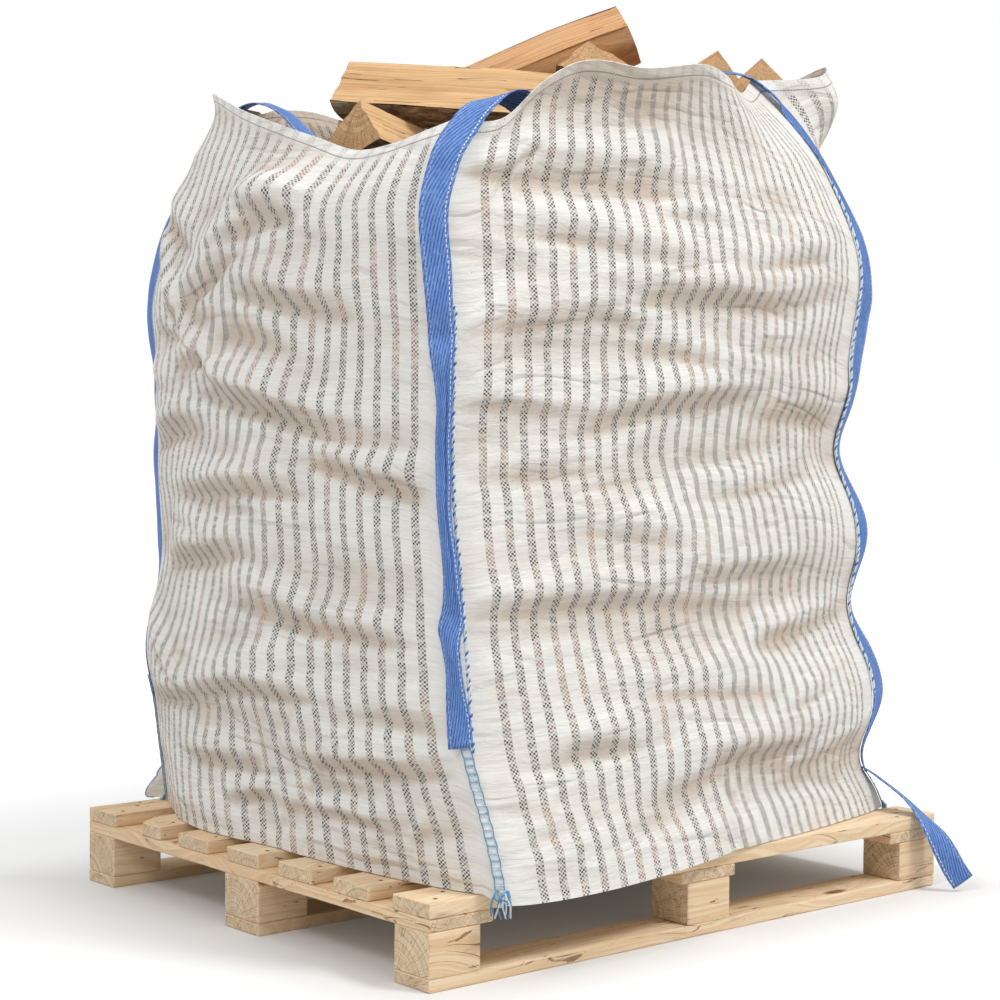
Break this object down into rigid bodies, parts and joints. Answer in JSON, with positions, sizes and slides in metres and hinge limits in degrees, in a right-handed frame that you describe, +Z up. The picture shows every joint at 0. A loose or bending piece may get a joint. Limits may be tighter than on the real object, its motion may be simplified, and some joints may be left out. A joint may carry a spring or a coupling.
{
  "type": "bulk bag of firewood on a pallet",
  "caption": "Woven bulk bag with blue lifting straps, heaped with split firewood logs and standing on a timber block pallet.",
  "frame": {"origin": "centre of the pallet's underside, on the floor", "axes": "+Z up; X along the pallet's deck boards and skids; Y along its stringers, away from the front side"},
  "size_m": [1.2577, 1.1503, 1.6191],
  "materials": {
    "woven_fabric": "off-white woven polypropylene with open net stripes",
    "blue_webbing": "blue twill webbing",
    "split_firewood": "split hardwood, with bark on the round sides",
    "pallet_pine": "rough-sawn pine"
  },
  "bodies": {
    "root": {"bag_fabric": "woven_fabric", "firewood_load": "split_firewood", "firewood_log_01": "split_firewood", "firewood_log_02": "split_firewood", "firewood_log_03": "split_firewood", "firewood_log_04": "split_firewood", "firewood_log_05": "split_firewood", "firewood_log_06": "split_firewood", "firewood_log_07": "split_firewood", "firewood_log_08": "split_firewood", "firewood_log_09": "split_firewood", "firewood_log_10": "split_firewood", "firewood_log_11": "split_firewood", "firewood_log_14": "split_firewood", "firewood_log_20": "split_firewood", "firewood_log_21": "split_firewood", "firewood_log_end": "split_firewood", "firewood_log_far": "split_firewood", "firewood_log_rear": "split_firewood", "firewood_log_right": "split_firewood", "firewood_log_slab": "split_firewood", "firewood_log_tip": "split_firewood", "lifting_strap_back": "blue_webbing", "lifting_strap_front": "blue_webbing", "lifting_strap_left": "blue_webbing", "lifting_strap_right": "blue_webbing", "lifting_strap_tail": "blue_webbing", "pallet_block_1_1": "pallet_pine", "pallet_block_1_2": "pallet_pine", "pallet_block_1_3": "pallet_pine", "pallet_block_2_1": "pallet_pine", "pallet_block_2_2": "pallet_pine", "pallet_block_2_3": "pallet_pine", "pallet_block_3_1": "pallet_pine", "pallet_block_3_2": "pallet_pine", "pallet_block_3_3": "pallet_pine", "pallet_deck_board_1": "pallet_pine", "pallet_deck_board_2": "pallet_pine", "pallet_deck_board_3": "pallet_pine", "pallet_deck_board_4": "pallet_pine", "pallet_deck_board_5": "pallet_pine", "pallet_deck_board_6": "pallet_pine", "pallet_deck_board_7": "pallet_pine", "pallet_skid_1": "pallet_pine", "pallet_skid_2": "pallet_pine", "pallet_skid_3": "pallet_pine", "pallet_stringer_1": "pallet_pine", "pallet_stringer_2": "pallet_pine", "pallet_stringer_3": "pallet_pine"}
  },
  "joints": []
}
